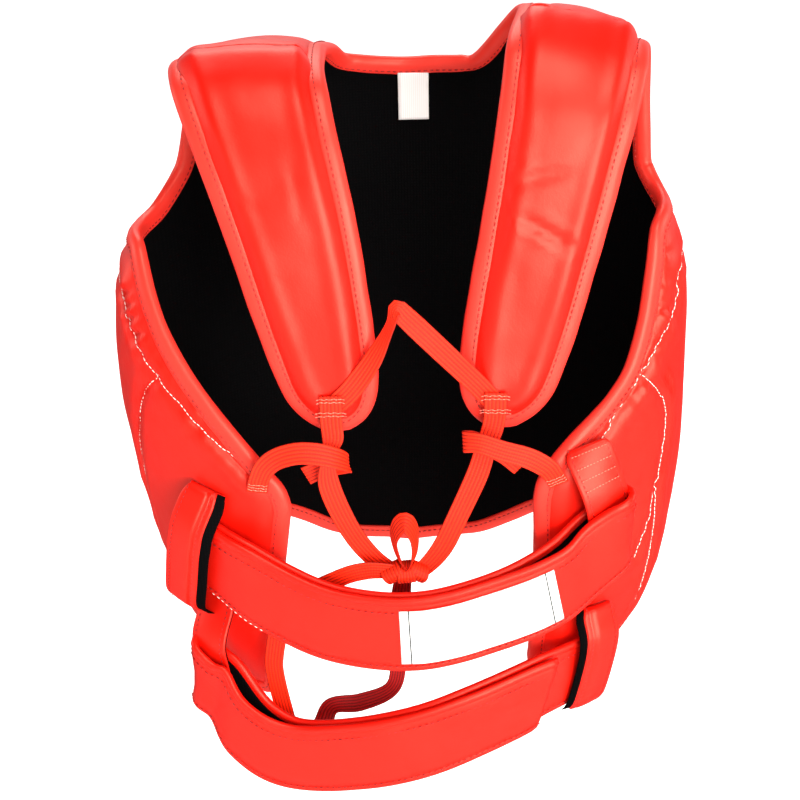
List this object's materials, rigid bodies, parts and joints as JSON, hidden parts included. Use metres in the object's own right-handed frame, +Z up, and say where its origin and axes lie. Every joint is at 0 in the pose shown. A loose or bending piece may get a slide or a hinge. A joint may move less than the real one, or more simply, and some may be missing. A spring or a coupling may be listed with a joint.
{
  "type": "body_protector",
  "caption": "Padded wrap-round body protector for boxing sports, open at the back, with shoulder pads over the shoulders, wide folded waist straps in keepers and elastic laces tied in a bow.",
  "frame": {"origin": "midway between the shoulders, under the crest where the shell and the shoulder pads meet", "axes": "+Z up along the standing wearer's trunk, +Y the way the wearer faces, +X to the wearer's right-hand shoulder"},
  "size_m": [0.4269, 0.2928, 0.5742],
  "materials": {
    "vinyl": "glossy grained vinyl over foam",
    "lining": "matt woven cloth",
    "elastic": "ribbed woven elastic",
    "label": "smooth woven label"
  },
  "bodies": {
    "root": {"body_shell": "vinyl", "body_lining": "lining", "neck_binding": "vinyl", "edge_binding": "vinyl", "shoulder_pad_left": "vinyl", "shoulder_pad_right": "vinyl", "shoulder_binding_left": "vinyl", "shoulder_binding_right": "vinyl", "lace_left": "elastic", "lace_right": "elastic", "lace_loop_left": "elastic", "lace_loop_right": "elastic", "cross_elastic": "elastic", "bow": "elastic", "upper_strap": "vinyl", "lower_strap": "vinyl", "keeper_upper_left": "vinyl", "keeper_upper_right": "vinyl", "keeper_lower_left": "vinyl", "keeper_lower_right": "vinyl", "strap_label": "label", "size_tag": "label"}
  },
  "joints": []
}
